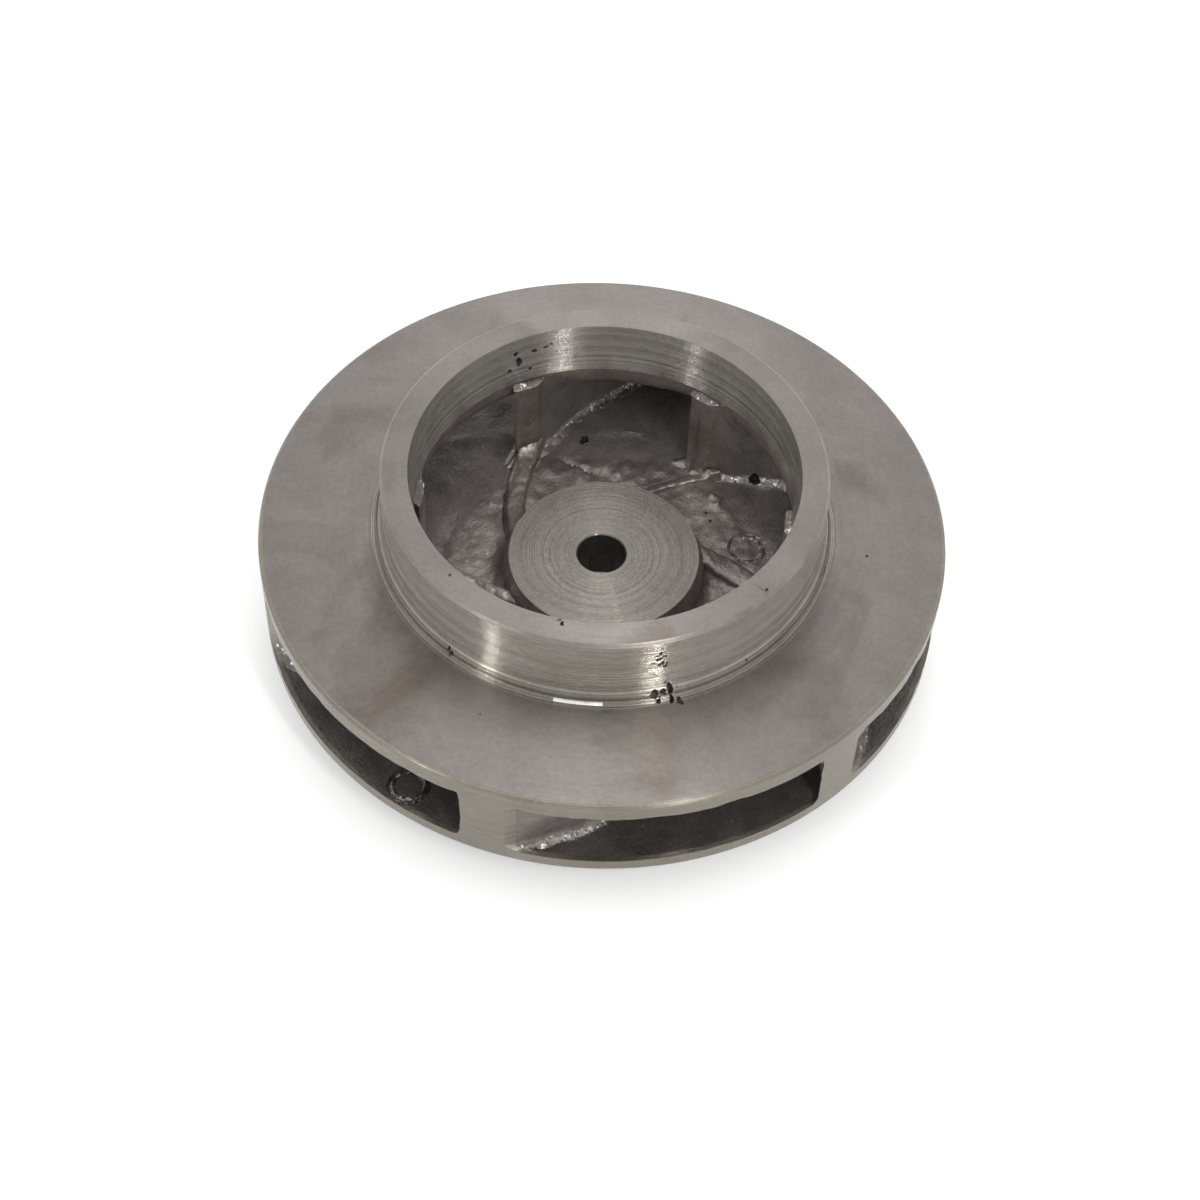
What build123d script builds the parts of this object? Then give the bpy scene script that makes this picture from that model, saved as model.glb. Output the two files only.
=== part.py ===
from build123d import *
from math import cos, radians, sin
import os

# Closed centrifugal pump impeller: one sand casting in aluminium alloy, turned all over outside.
# The origin is on the shaft axis at the face of the rear hub boss, on which the impeller stands.
# +Z points to the suction eye. All sizes are in millimetres.

# --- overall -----------------------------------------------------------------
IMPELLER_R = 100.0        # both shrouds and the vane tips are turned to this radius
CORNER_R = 1.4            # rounded outer corner of each shroud

# --- heights above the rear hub face -----------------------------------------
BACK_FACE_Z = 15.6        # turned rear face of the back shroud
FLOOR_Z = 20.3            # passage floor: front face of the back shroud
NOSE_Z = 31.5             # turned face of the hub nose inside the eye
SHROUD_IN_Z = 41.2        # passage roof: inner face of the front shroud
SHROUD_OUT_Z = 46.7       # turned front face of the front shroud
COLLAR_TOP_Z = 70.0       # top of the eye ring

# --- eye ring (runs in the wear ring of the pump casing) ----------------------
EYE_R_TOP = 56.0          # eye bore at the top
EYE_R_LIP = 54.6          # eye bore at its lower lip
EYE_LIP_Z = 53.6          # height of that lip
COLLAR_R = 64.0           # running diameter of the eye ring / 2
COLLAR_CHAMFER = 0.9
COLLAR_STEP_Z = 57.2      # below this the ring is 0.35 mm larger in radius
COLLAR_STEP = 0.35
COLLAR_STEP_H = 2.4       # height of the slight cone down to that radius
FOOT_TOP_Z = 50.6         # top of the rounded foot that joins ring and shroud
FOOT_R = 65.9
FOOT_FILLET = 1.9
THROAT_R = EYE_LIP_Z - SHROUD_IN_Z    # the eye opens into the passages over this radius

# --- hub ---------------------------------------------------------------------
NOSE_R = 28.3
FLANK_R = 29.6            # the cast flank of the nose widens a little downwards
FLANK_FILLET = 7.0        # and runs out into the floor over this radius
BOSS_R = 27.0
BOSS_CHAMFER = 1.2
BACK_FILLET = 4.0         # between boss and back face
BOLT_HOLE_R = 7.26        # hole for the retaining bolt
SHAFT_R = 15.0            # shaft bore from the rear
SHAFT_DEPTH = 22.0
BORE_CHAMFER = 0.8
KEY_WIDTH = 8.0
KEY_HEIGHT = 18.3         # from the axis to the roof of the keyway

# --- vanes -------------------------------------------------------------------
VANE_COUNT = 6
VANE_T = 7.0              # thickness of the cast vane
VANE_ARC_R = 74.0         # the vane's centre line is one arc in the plan
EXIT_AZIMUTH = 72.8       # where that arc meets the rim on the first vane, degrees
EXIT_ANGLE = 30.0         # between the vane and the rim, degrees
EDGE_TURN = 57.0          # turn of the arc from the rim to the leading edge, degrees
TOE_TURN = 93.0           # and to the end of the low toe, which dies into the hub
OVERRUN_TURN = 5.0        # cast past the rim and turned off flush with it
EDGE_TOP_Z = 50.4         # the leading edge stands upright to here, under the eye lip
TOE_T = 6.0
TOE_EDGE_Z = 24.6         # top of the toe at the leading edge
TOE_HUB_Z = 29.4          # and at the hub nose
ROOT_FILLET = 2.5         # cast fillet between vane and passage floor
TOE_FILLET = 1.5
ROOT_FLATS = 2            # flats in each of these fillets

ONE_TURN = 360.0
VANE_PITCH = ONE_TURN / VANE_COUNT


def polar(radius, azimuth):
    """Point in the plan at a radius and an azimuth in degrees."""
    return Vector(radius * cos(radians(azimuth)), radius * sin(radians(azimuth)))


EXIT_POINT = polar(IMPELLER_R, EXIT_AZIMUTH)
ARC_START = EXIT_AZIMUTH + EXIT_ANGLE      # azimuth of the exit point seen from the arc centre
ARC_CENTRE = EXIT_POINT - polar(VANE_ARC_R, ARC_START)


def rounding(centre_r, centre_z, radius, start, end, flats):
    """Section points of a rounding turned as a few flats, from one angle to another in degrees."""
    step = (end - start) / flats
    angles = [radians(start + index * step) for index in range(flats + 1)]
    return [(centre_r + radius * cos(angle), centre_z + radius * sin(angle)) for angle in angles]


def turned(points):
    """Solid of revolution of a polygon of (radius, height) points."""
    with BuildPart() as body:
        with BuildSketch(Plane.XZ):
            Polygon(*points, align=None)
        revolve(axis=Axis.Z)
    return body.part


def front_shroud():
    """Front shroud with its eye ring: a closed profile turned about the axis."""
    step_r = COLLAR_R + COLLAR_STEP
    foot_centre = (FOOT_R + FOOT_FILLET, SHROUD_OUT_Z + FOOT_FILLET)
    corner_centre = (IMPELLER_R - CORNER_R, SHROUD_OUT_Z - CORNER_R)
    throat_centre = (EYE_R_LIP + THROAT_R, EYE_LIP_Z)
    return turned([
        (EYE_R_TOP, COLLAR_TOP_Z),
        (COLLAR_R - COLLAR_CHAMFER, COLLAR_TOP_Z),
        (COLLAR_R, COLLAR_TOP_Z - COLLAR_CHAMFER),
        (COLLAR_R, COLLAR_STEP_Z),
        (step_r, COLLAR_STEP_Z - COLLAR_STEP_H),
        (step_r, FOOT_TOP_Z),
        *rounding(*foot_centre, FOOT_FILLET, 180, 270, 2),
        *rounding(*corner_centre, CORNER_R, 90, 0, 2),
        (IMPELLER_R, SHROUD_IN_Z),
        *rounding(*throat_centre, THROAT_R, 270, 180, 6),
    ])


def back_shroud_and_hub():
    """Back shroud, hub nose and rear boss: one closed profile turned about the axis."""
    boss_centre = (BOSS_R + BACK_FILLET, BACK_FACE_Z - BACK_FILLET)
    corner_centre = (IMPELLER_R - CORNER_R, BACK_FACE_Z + CORNER_R)
    flank_centre = (FLANK_R + FLANK_FILLET, FLOOR_Z + FLANK_FILLET)
    return turned([
        (0, 0),
        (BOSS_R - BOSS_CHAMFER, 0),
        (BOSS_R, BOSS_CHAMFER),
        *rounding(*boss_centre, BACK_FILLET, 180, 90, 3),
        *rounding(*corner_centre, CORNER_R, 270, 360, 2),
        (IMPELLER_R, FLOOR_Z),
        *rounding(*flank_centre, FLANK_FILLET, 270, 180, 3),
        (NOSE_R, NOSE_Z),
        (0, NOSE_Z),
    ])


def arc_axis():
    """Upright axis through the centre of the vane's arc."""
    return Axis((ARC_CENTRE.X, ARC_CENTRE.Y, 0), (0, 0, 1))


def vane_section(thickness, fillet_r, root_z, top_z):
    """Upright cross-section of a vane at the start of its arc, with a fillet on each side of its foot."""
    half = thickness / 2
    foot = half + fillet_r
    fillet_z = FLOOR_Z + fillet_r
    section_plane = Plane(
        origin=(EXIT_POINT.X, EXIT_POINT.Y, 0),
        x_dir=polar(1, ARC_START),
        z_dir=polar(1, ARC_START - 90),
    )
    with BuildSketch(section_plane) as section:
        Polygon(
            (-foot, root_z),
            (foot, root_z),
            *rounding(foot, fillet_z, fillet_r, 270, 180, ROOT_FLATS),
            (half, top_z),
            (-half, top_z),
            *rounding(-foot, fillet_z, fillet_r, 0, -90, ROOT_FLATS),
            align=None,
        )
    return section.sketch


def vane_run(section, turn_from, turn_to):
    """Section carried along the vane's arc between two turns, both measured inwards from the rim."""
    start = section.rotate(arc_axis(), turn_from)
    return revolve(start, arc_axis(), turn_to - turn_from)


def vane_nose(turn, thickness, fillet_r, root_z, top_z):
    """Round upright nose at the inner end of a run, with the same fillet round its foot."""
    centre = ARC_CENTRE + polar(VANE_ARC_R, ARC_START + turn)
    half = thickness / 2
    foot = half + fillet_r
    nose = turned([
        (0, root_z),
        (foot, root_z),
        *rounding(foot, FLOOR_Z + fillet_r, fillet_r, 270, 180, ROOT_FLATS),
        (half, top_z),
        (0, top_z),
    ])
    return Pos(centre.X, centre.Y, 0) * nose


def vane():
    """One vane with its upright leading edge and the low toe that runs in to the hub.

    Its lower edge is sunk in the back shroud and its upper edge in the front shroud.
    """
    root_z = FLOOR_Z - 1.5
    roof_z = SHROUD_IN_Z + 1.5
    lip_in_z = EYE_LIP_Z - 0.6
    envelope = turned([
        (NOSE_R, root_z),
        (NOSE_R, roof_z),
        (EYE_R_LIP - 4, EDGE_TOP_Z - 3),
        (EYE_R_LIP - 2, EDGE_TOP_Z),
        (EYE_R_LIP + 0.3, lip_in_z),
        (EYE_R_LIP + 2.5, lip_in_z),
        (EYE_R_LIP + THROAT_R, roof_z),
        (IMPELLER_R, roof_z),
        (IMPELLER_R, root_z),
    ])
    toe_envelope = turned([
        (NOSE_R - 2, root_z),
        (NOSE_R - 2, TOE_HUB_Z),
        (EYE_R_LIP + 2, TOE_EDGE_Z),
        (EYE_R_LIP + 2, root_z),
    ])
    blade_section = vane_section(VANE_T, ROOT_FILLET, root_z, EYE_LIP_Z)
    toe_section = vane_section(TOE_T, TOE_FILLET, root_z, TOE_HUB_Z)
    blade = vane_run(blade_section, -OVERRUN_TURN, EDGE_TURN)
    blade += vane_nose(EDGE_TURN, VANE_T, ROOT_FILLET, root_z, EYE_LIP_Z)
    toe = vane_run(toe_section, EDGE_TURN, TOE_TURN)
    return (blade & envelope) + (toe & toe_envelope)


def bores():
    """Everything that is bored or cut from the solid hub."""
    bolt_hole = Cylinder(BOLT_HOLE_R, NOSE_Z, align=(Align.CENTER, Align.CENTER, Align.MIN))
    shaft_bore = Cylinder(SHAFT_R, SHAFT_DEPTH, align=(Align.CENTER, Align.CENTER, Align.MIN))
    mouth = Cone(
        SHAFT_R + BORE_CHAMFER,
        SHAFT_R,
        BORE_CHAMFER,
        align=(Align.CENTER, Align.CENTER, Align.MIN),
    )
    keyway = Box(
        KEY_WIDTH,
        KEY_HEIGHT,
        SHAFT_DEPTH,
        align=(Align.CENTER, Align.MIN, Align.MIN),
    )
    return bolt_hole + shaft_bore + mouth + keyway


def impeller():
    """The whole casting."""
    first = vane()
    vanes = [Rot(0, 0, index * VANE_PITCH) * first for index in range(VANE_COUNT)]
    casting = front_shroud() + [back_shroud_and_hub(), *vanes]
    return casting - bores()


os.makedirs("parts", exist_ok=True)
part = impeller()
part.label = "impeller"
export_step(part, "parts/impeller.step")
print("impeller:", len(part.solids()), "solid, volume", round(part.volume / 1000, 1), "cm3")
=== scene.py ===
import bmesh
import bpy
import numpy as np
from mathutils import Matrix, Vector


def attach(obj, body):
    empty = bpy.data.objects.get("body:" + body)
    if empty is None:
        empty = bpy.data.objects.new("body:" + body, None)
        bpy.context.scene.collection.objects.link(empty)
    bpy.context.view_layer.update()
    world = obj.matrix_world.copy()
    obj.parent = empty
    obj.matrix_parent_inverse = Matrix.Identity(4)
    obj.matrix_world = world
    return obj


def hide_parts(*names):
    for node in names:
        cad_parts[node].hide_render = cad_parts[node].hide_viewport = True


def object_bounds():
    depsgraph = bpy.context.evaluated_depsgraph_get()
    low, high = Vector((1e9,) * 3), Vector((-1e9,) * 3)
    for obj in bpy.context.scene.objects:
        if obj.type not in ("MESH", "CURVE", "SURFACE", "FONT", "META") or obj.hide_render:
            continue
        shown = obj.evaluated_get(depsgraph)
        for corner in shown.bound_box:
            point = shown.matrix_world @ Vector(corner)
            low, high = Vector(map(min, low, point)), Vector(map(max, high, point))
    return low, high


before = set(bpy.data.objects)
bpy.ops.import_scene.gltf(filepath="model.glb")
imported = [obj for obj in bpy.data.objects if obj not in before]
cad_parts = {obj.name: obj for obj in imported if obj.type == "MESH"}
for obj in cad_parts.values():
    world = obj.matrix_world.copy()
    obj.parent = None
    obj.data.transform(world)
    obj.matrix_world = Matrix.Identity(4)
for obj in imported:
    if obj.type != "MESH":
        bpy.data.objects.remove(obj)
cad_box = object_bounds()

# --- Front shroud and eye ring ----------------------------------------------------------------
# The disc that closes the passages towards the suction side, with the ring that runs in the wear
# ring of the casing. It is sand cast in aluminium: the front face, rim, ring and eye bore are
# turned, and the underside keeps the skin of the core. Sizes are in millimetres.
MM = 0.001
STEPS_AROUND = 400
AROUND = np.arange(STEPS_AROUND) * (2 * np.pi / STEPS_AROUND)

RIM_R = min(cad_box[1].x, cad_box[1].y, -cad_box[0].x, -cad_box[0].y) / MM
COLLAR_TOP_Z = cad_box[1].z / MM
SHROUD_IN_Z = 41.2
SHROUD_OUT_Z = 46.7
CORNER_R = 1.4
EYE_R_TOP = 56.0
EYE_R_LIP = 54.6
EYE_LIP_Z = 53.6
THROAT_R = EYE_LIP_Z - SHROUD_IN_Z
COLLAR_R = 64.0
COLLAR_CHAMFER = 0.9
CONE_TOP_Z = 57.2           # from here down to CONE_END_Z the ring widens by CONE_STEP
CONE_END_Z = 54.8
CONE_STEP = 0.35
GROOVE_Z = 50.9             # a fine groove parts the ring from its rounded foot
GROOVE_R = COLLAR_R + 0.12
GROOVE_LIP = 0.25
BEAD_R = 1.7                # the foot is a bead and a fillet, with these centres
BEAD_CENTRE = (COLLAR_R + 0.4, 49.0)
FOOT_R = 66.1
FOOT_FILLET = 1.9
FOOT_FILLET_Z = 48.6
# Wavelength and height of the waves that make up the skin.
SKIN_WAVES = ((19, 0.16), (7.5, 0.10), (3.6, 0.07))


def arc(centre_r, centre_z, radius, start, end, count):
    """Section points on a circle, from one angle to another in degrees:
    r = centre r + radius cos a, z = centre z + radius sin a."""
    angle = np.radians(np.linspace(start, end, count))
    return np.c_[centre_r + radius * np.cos(angle), centre_z + radius * np.sin(angle)]


def line(start, end, count):
    """Section points at even steps from start up to, but without, end."""
    share = np.linspace(0, 1, count, endpoint=False)[:, None]
    return np.array(start) * (1 - share) + np.array(end) * share


def spun(profile):
    """A section turned about the shaft axis, one row of points for each of its points:
    x = r cos a, y = r sin a, z = z."""
    radius, height = profile[:, :1], profile[:, 1:]
    return np.stack(
        [radius * np.cos(AROUND), radius * np.sin(AROUND), height + 0 * AROUND], axis=-1
    )


def lumps(points, wavelength, seed, waves=28):
    """Smooth random height at each point, about -1 to 1: a mean of plane waves that run through
    space in random directions, sin(k . p + phase), with wavelengths within a third of the given one."""
    rng = np.random.default_rng(seed)
    heading = rng.normal(size=(waves, 3))
    heading /= np.linalg.norm(heading, axis=1, keepdims=True)
    k = heading * (2 * np.pi / (wavelength * rng.uniform(0.7, 1.35, (waves, 1))))
    phase = rng.uniform(0, 2 * np.pi, waves)
    return np.sin(points @ k.T + phase).sum(-1) / np.sqrt(waves)


def core_skin(points, seed):
    """Height of the skin that the sand core leaves: the sum of long waves, lumps and a fine tooth."""
    return sum(
        height * lumps(points, wavelength, seed + order)
        for order, (wavelength, height) in enumerate(SKIN_WAVES)
    )


def normals(grid, closed=True):
    """Unit normals of a grid whose rows of points close on themselves, and its columns too if closed:
    the cross product of the differences between the neighbours along and across the rows."""
    down = np.roll(grid, -1, axis=0) - np.roll(grid, 1, axis=0) if closed else np.gradient(grid, axis=0)
    across = np.roll(grid, -1, axis=1) - np.roll(grid, 1, axis=1)
    normal = np.cross(across, down)
    return normal / np.maximum(np.linalg.norm(normal, axis=-1, keepdims=True), 1e-9)


def within_rim(grid):
    """The grid with what stands beyond the turned rim drawn in to it: (x, y) times rim / radius."""
    radius = np.hypot(grid[..., 0], grid[..., 1])
    grid[..., :2] *= np.minimum(1, RIM_R / radius)[..., None]
    return grid


def mesh_object(name, points, faces):
    """Mesh object of points in millimetres, with its place in its mesh."""
    mesh = bpy.data.meshes.new(name)
    mesh.from_pydata((points.reshape(-1, 3) * MM).tolist(), [], faces)
    piece = bpy.data.objects.new(name, mesh)
    bpy.context.scene.collection.objects.link(piece)
    return piece


def tubes(name, grids, closed=False):
    """Mesh object of like tubes, each a grid whose rows of points close on themselves. A closed tube
    runs back into itself as a ring does, and any other has one flat face at either end."""
    rows, columns = grids[0].shape[:2]
    row = np.arange(rows if closed else rows - 1)[:, None] * columns
    column = np.arange(columns)[None, :]
    after, beside = (row + columns) % (rows * columns), (column + 1) % columns
    quads = np.stack([row + column, row + beside, after + beside, after + column], axis=-1)
    ends = np.array([column[0, ::-1], column[0] + (rows - 1) * columns])
    faces = []
    for start in np.arange(len(grids)) * rows * columns:
        faces += (quads.reshape(-1, 4) + start).tolist()
        if not closed:
            faces += (ends + start).tolist()
    return mesh_object(name, np.concatenate([grid.reshape(-1, 3) for grid in grids]), faces)


# The section goes from the eye lip up, over the ring and the shroud, and back along the roof of the
# passages. It is turned end for end so that the faces point outwards.
front_profile = np.concatenate([
    line((EYE_R_LIP, EYE_LIP_Z), (EYE_R_TOP, COLLAR_TOP_Z), 2),
    [
        (EYE_R_TOP, COLLAR_TOP_Z),
        (COLLAR_R - COLLAR_CHAMFER, COLLAR_TOP_Z),
        (COLLAR_R, COLLAR_TOP_Z - COLLAR_CHAMFER),
        (COLLAR_R, CONE_TOP_Z),
        (COLLAR_R + CONE_STEP, CONE_END_Z),
        (COLLAR_R + CONE_STEP, GROOVE_Z + GROOVE_LIP),
        (GROOVE_R, GROOVE_Z),
    ],
    arc(*BEAD_CENTRE, BEAD_R, 72, 0, 6),
    arc(FOOT_R + FOOT_FILLET, FOOT_FILLET_Z, FOOT_FILLET, 182, 268, 6),
    [(FOOT_R + FOOT_FILLET + 0.2, SHROUD_OUT_Z)],
    arc(RIM_R - CORNER_R, SHROUD_OUT_Z - CORNER_R, CORNER_R, 90, 0, 6),
    [(RIM_R, SHROUD_OUT_Z - CORNER_R - 0.7)],
    line((RIM_R, SHROUD_IN_Z), (EYE_R_LIP + THROAT_R, SHROUD_IN_Z), 22),
    arc(EYE_R_LIP + THROAT_R, EYE_LIP_Z, THROAT_R, 270, 183, 12),
])[::-1]
profile_r, profile_z = front_profile.T
is_cast = (profile_z < EYE_LIP_Z) & ((profile_z <= SHROUD_IN_Z) | (profile_r < COLLAR_R - 1))
is_cast |= (profile_z < SHROUD_OUT_Z - CORNER_R) & (profile_r < FOOT_R + FOOT_FILLET)
front = spun(front_profile)
front += normals(front) * (is_cast[:, None] * core_skin(front, seed=11))[..., None]
front_shroud = tubes("front_shroud", [within_rim(front)], closed=True)

# --- Back shroud and hub ----------------------------------------------------------------------
# The disc that carries the vanes, with the hub nose inside the eye and the boss behind it. The
# nose face, the rim, the rear and the bore are turned. The floor of the passages is as cast,
# lumpy round the hub, with a ragged seam where two cores met.
BACK_FACE_Z = 15.6
FLOOR_Z = 20.3
NOSE_Z = 31.5
NOSE_R = 28.3
FLANK_R = 29.6
FLANK_FILLET = 4.5
FLANK_TOP = (NOSE_R + 0.2, NOSE_Z - 0.3)
CAST_END_R = NOSE_R + 0.5   # the flank is as cast down to this radius
BOSS_R = 27.0
BOSS_CHAMFER = 1.2
BACK_FILLET = 4.0
BOLT_HOLE_R = 7.26
HOLE_BREAK = 0.3
SHAFT_R = 15.0
SHAFT_DEPTH = 22.0
BORE_CHAMFER = 0.8
INNER_FLOOR_R = 50.0        # the floor has closer rows of points inside this radius
CORE_SHIFT = np.array([0.68, -0.18])    # the core of the eye lay off centre by this, x and y
CORE_SEAM_R = 46.5
# Azimuth of its middle and half-width, in degrees, of the coarsest bay beside the hub, of a long
# low wave and of a crease.
BAY, WAVE, CREASE = (84, 24), (82, 12), (100.5, 6)
WAVE_R = 58.5
# Metal that ran into the joint, x and y: a blob, a nub and a short fin.
BLOB, NUB, FIN = (34.2, 32.5), (-34.7, 26.9), (-46.1, 52.6)

back_profile = np.concatenate([
    [
        (SHAFT_R + BORE_CHAMFER, 0),
        (BOSS_R - BOSS_CHAMFER, 0),
        (BOSS_R, BOSS_CHAMFER),
    ],
    arc(BOSS_R + BACK_FILLET, BACK_FACE_Z - BACK_FILLET, BACK_FILLET, 180, 90, 8),
    [(BOSS_R + BACK_FILLET + 1, BACK_FACE_Z)],
    arc(RIM_R - CORNER_R, BACK_FACE_Z + CORNER_R, CORNER_R, 270, 360, 6),
    [(RIM_R, BACK_FACE_Z + CORNER_R + 0.6)],
    line((RIM_R, FLOOR_Z), (INNER_FLOOR_R, FLOOR_Z), 32),
    line((INNER_FLOOR_R, FLOOR_Z), (FLANK_R + FLANK_FILLET, FLOOR_Z), 16),
    arc(FLANK_R + FLANK_FILLET, FLOOR_Z + FLANK_FILLET, FLANK_FILLET, 270, 184, 11),
    line((FLANK_R, FLOOR_Z + FLANK_FILLET), FLANK_TOP, 5),
    [
        (NOSE_R, NOSE_Z),
        (BOLT_HOLE_R + HOLE_BREAK, NOSE_Z),
        (BOLT_HOLE_R, NOSE_Z - HOLE_BREAK),
        (BOLT_HOLE_R, SHAFT_DEPTH),
        (SHAFT_R, SHAFT_DEPTH),
        (SHAFT_R, BORE_CHAMFER),
    ],
])


def ridge(away, width, power=2):
    """Bell curve of a distance, flatter on top for a higher power: exp(-(away / width)^power)."""
    return np.exp(-((away / width) ** power))


def floor_relief(points):
    """Height of the as-cast floor over its nominal level: core skin, lumps that grow coarse beside
    the hub, the ragged seam where the eye core met the passage cores, a long wave, a crease, and
    metal that ran into the joint."""
    x, y = points[..., 0], points[..., 1]
    radius = np.hypot(x, y)
    azimuth = np.degrees(np.arctan2(y, x))
    near_hub = 1 / (1 + np.exp((radius - CORE_SEAM_R - 0.5) / 0.7))
    coarse, small, fine = lumps(points, 9.0, 41), lumps(points, 4.4, 42), lumps(points, 2.6, 43)
    relief = core_skin(points, seed=31)
    rough = 0.12 + 0.24 * ridge(azimuth - BAY[0], BAY[1], 4)
    relief += near_hub * rough * (coarse + 0.6 * small + 0.3 * fine)
    relief += 0.45 * near_hub
    seam = ridge(radius - CORE_SEAM_R - 0.7 * small, 1.0)
    relief += seam * (0.1 + 0.12 * np.clip(fine + 0.3, 0, 1.4))
    wave_r = WAVE_R + 1.2 * np.sin(np.radians(azimuth * 5))
    relief += 0.75 * ridge(radius - wave_r, 1.1) * ridge(azimuth - WAVE[0], WAVE[1], 4)
    crease_r = 41 + 7 * (azimuth - 95) / 11
    relief -= 1.3 * ridge(radius - crease_r, 0.9) * ridge(azimuth - CREASE[0], CREASE[1], 4)
    relief += (1.1 + 0.7 * fine) * ridge(x - BLOB[0], 2.0) * ridge(y - BLOB[1], 3.8)
    relief += 0.9 * ridge(np.hypot(x - NUB[0], y - NUB[1]), 1.0)
    relief += 1.0 * ridge(x - FIN[0], 3.4) * ridge(y - FIN[1] - 0.2 * (x - FIN[0]), 0.9)
    return relief


back = spun(back_profile)
profile_r, profile_z = back_profile.T
off_centre = np.interp(profile_z, [FLOOR_Z + 0.2, FLOOR_Z + FLANK_FILLET], [0, 1])
off_centre *= profile_r > NOSE_R - 0.1
back[..., :2] += off_centre[:, None, None] * CORE_SHIFT
is_cast = (profile_r > CAST_END_R) & (profile_z > FLOOR_Z - 0.01)
back += normals(back) * (is_cast[:, None] * floor_relief(back))[..., None]
back_shroud = tubes("back_shroud", [within_rim(back)], closed=True)

# --- Vanes ------------------------------------------------------------------------------------
# Six vanes, curved in the plan on one arc each, stand between the shrouds. Their leading edges
# are blunt and stand upright under the lip of the eye, and flow out into both shrouds through
# cast fillets. Their outer ends are turned off flush with the rim.
VANE_COUNT = 6
VANE_T = 7.0
VANE_ARC_R = 74.0
EXIT_AZIMUTH = np.radians(72.8)
EXIT_ANGLE = np.radians(30.0)
EDGE_TURN = np.radians(57.9)
OVERRUN_TURN = np.radians(7.0)
ARC_START = EXIT_AZIMUTH + EXIT_ANGLE
EXIT_POINT = RIM_R * np.array([np.cos(EXIT_AZIMUTH), np.sin(EXIT_AZIMUTH)])
ARC_CENTRE = EXIT_POINT - VANE_ARC_R * np.array([np.cos(ARC_START), np.sin(ARC_START)])
ROOT_FILLET = 3.2
ROOF_FILLET = 3.0
NOSE_LENGTH = 1.2           # the blunt end goes this far beyond EDGE_TURN
NOSE_ANGLES = np.radians([14, 28, 42, 55, 66, 75, 83, 88.5])
EDGE_SLANT = 0.0122
EDGE_THINNING = 0.6
EDGE_LENGTH = np.radians(10)
BELLY = 2.0                 # a vane swells by this on each side
BELLY_TURN, BELLY_LENGTH = 28, 13
TIP_LENGTH = 9              # in the last degrees before the rim it thins, and its fillets shrink
TIP_THINNING = 0.45
TIP_ROOT, TIP_ROOF = 0.35, 0.12
# The upper edge: its height at these radii, under the eye lip and then inside the front shroud.
CREST_R = (0, 51, 54.8, 57.5, 63, RIM_R)
CREST_Z = (49.8, 50.3, 52.8, 52.8, 45, 45)
# Rows of points, close together in the fillets: over the floor, between, and below the upper edge.
LOW_ROWS = np.array([-1.3, -0.4, 0.1, 0.5, 1.0, 1.6, 2.2, 2.9])
MIDDLE_ROWS = np.linspace(0, 1, 13)[1:-1]
HIGH_ROWS = np.array([3.4, 2.5, 1.8, 1.2, 0.7, 0.3])


def on_arc(turn, offset):
    """Plan point at a turn along the vane's arc, a little outside (+) or inside (-) of it:
    centre + (arc radius + offset) x (cos a, sin a)."""
    angle = ARC_START + turn
    reach = VANE_ARC_R + offset
    return ARC_CENTRE[0] + reach * np.cos(angle), ARC_CENTRE[1] + reach * np.sin(angle)


def flare(height, fillet):
    """Extra half-width of a vane in a fillet, at a height over the surface it stands on:
    fillet - sqrt(fillet^2 - (fillet - height)^2), and the whole fillet below the surface."""
    left = fillet - np.clip(height, 0, fillet)
    return fillet - np.sqrt(fillet**2 - left**2)


def toward_edge(turn):
    """0 along the vane and 1 at its leading edge, with a smooth rise s^2 (3 - 2 s) before it."""
    share = np.clip((turn - EDGE_TURN) / EDGE_LENGTH + 1, 0, 1)
    return share * share * (3 - 2 * share)


def both_sides(inner, outer):
    """Rows of points down one side of a vane and, in reverse, up the other."""
    return np.concatenate([inner, outer[:, ::-1]], axis=1)


def turned_round(grid, index):
    """The grid turned about the shaft axis by whole vane pitches: (x cos a - y sin a,
    x sin a + y cos a, z)."""
    angle = 2 * np.pi * index / VANE_COUNT
    c, s = np.cos(angle), np.sin(angle)
    return grid @ np.array([[c, s, 0], [-s, c, 0], [0, 0, 1]])


run = np.linspace(-OVERRUN_TURN, EDGE_TURN, 62)
nose_share = np.sin(NOSE_ANGLES)
turns = np.concatenate([run, EDGE_TURN + nose_share * NOSE_LENGTH / VANE_ARC_R])
in_nose = np.concatenate([np.zeros(len(run)), nose_share])
belly = BELLY * ridge(np.degrees(turns) - BELLY_TURN, BELLY_LENGTH)
half_width = VANE_T / 2 + belly - EDGE_THINNING * toward_edge(turns)
half_width *= (1 - in_nose**3) ** (1 / 3)
vane_radius = np.hypot(*on_arc(turns, 0))
throat_depth = np.clip(EYE_R_LIP + THROAT_R - vane_radius, 0, THROAT_R)
roof = EYE_LIP_Z - np.sqrt(THROAT_R**2 - throat_depth**2)
crest = np.interp(vane_radius, CREST_R, CREST_Z)
upper = np.minimum(roof, crest)
bottom_z, top_z = FLOOR_Z + LOW_ROWS[-1], upper - HIGH_ROWS[0]
heights = np.concatenate(
    [
        np.tile(FLOOR_Z + LOW_ROWS, (len(turns), 1)),
        bottom_z + (top_z - bottom_z)[:, None] * MIDDLE_ROWS,
        upper[:, None] - HIGH_ROWS,
        np.maximum(upper + 0.2, crest)[:, None],
    ],
    axis=1,
)
inward = np.clip(np.degrees(turns) / TIP_LENGTH, 0, 1)[:, None]
spread = flare(heights - FLOOR_Z, ROOT_FILLET) * (TIP_ROOT + (1 - TIP_ROOT) * inward)
spread += flare(roof[:, None] - heights, ROOF_FILLET) * (TIP_ROOF + (1 - TIP_ROOF) * inward)
in_fillets = spread * ((1 - in_nose**3) ** (1 / 6))[:, None]
half = half_width[:, None] - TIP_THINNING * (1 - inward) + in_fillets
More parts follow.
